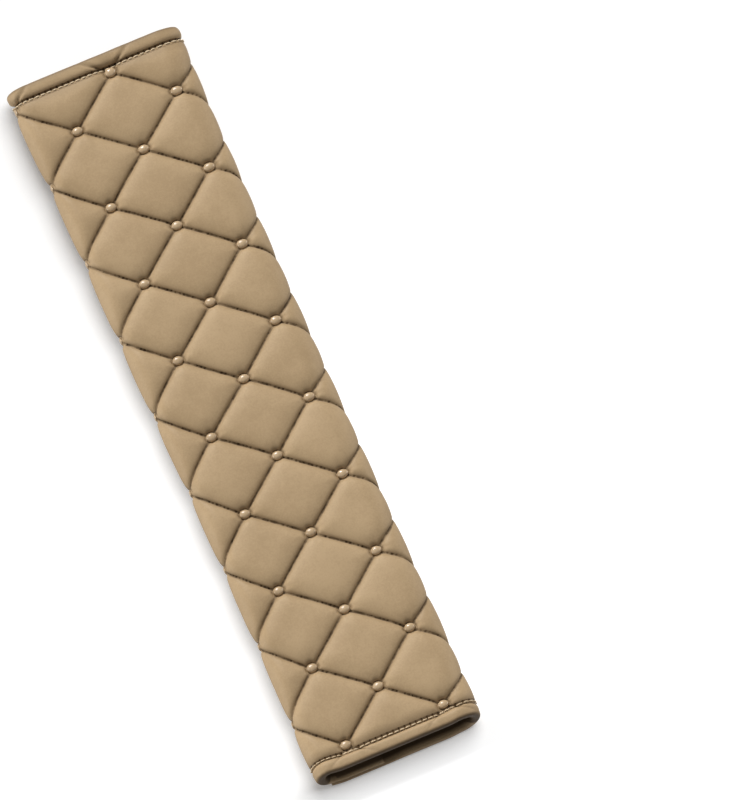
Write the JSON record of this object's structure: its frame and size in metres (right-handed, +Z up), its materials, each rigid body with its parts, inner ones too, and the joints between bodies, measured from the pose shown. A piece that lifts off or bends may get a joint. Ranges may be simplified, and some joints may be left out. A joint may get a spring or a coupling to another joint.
{
  "type": "seat belt shoulder pad",
  "caption": "Quilted leatherette sleeve with foam padding, folded round a belt channel, hemmed at both ends and closed along the back by hook and loop tape.",
  "frame": {"origin": "on the floor under the middle of the pad", "axes": "+X across the belt, +Y along the belt towards the far hem, +Z up, out of the quilted front; the closure is underneath, near the -X edge"},
  "size_m": [0.0646, 0.286, 0.0147],
  "materials": {
    "leather": "satin tan leatherette with a fine grain, embossed quilting",
    "foam": "open-cell foam sheet",
    "lining_cloth": "brown brushed knit",
    "tape": "hook and loop tape",
    "thread": "twisted polyester thread"
  },
  "bodies": {
    "root": {"quilted_cover": "leather", "foam_padding": "foam", "lining": "lining_cloth", "hook_tape": "tape", "loop_tape": "tape", "far_hem_thread": "thread", "near_hem_thread": "thread", "hook_tape_thread_left": "thread", "hook_tape_thread_right": "thread", "loop_tape_thread_left": "thread", "loop_tape_thread_right": "thread"}
  },
  "joints": []
}
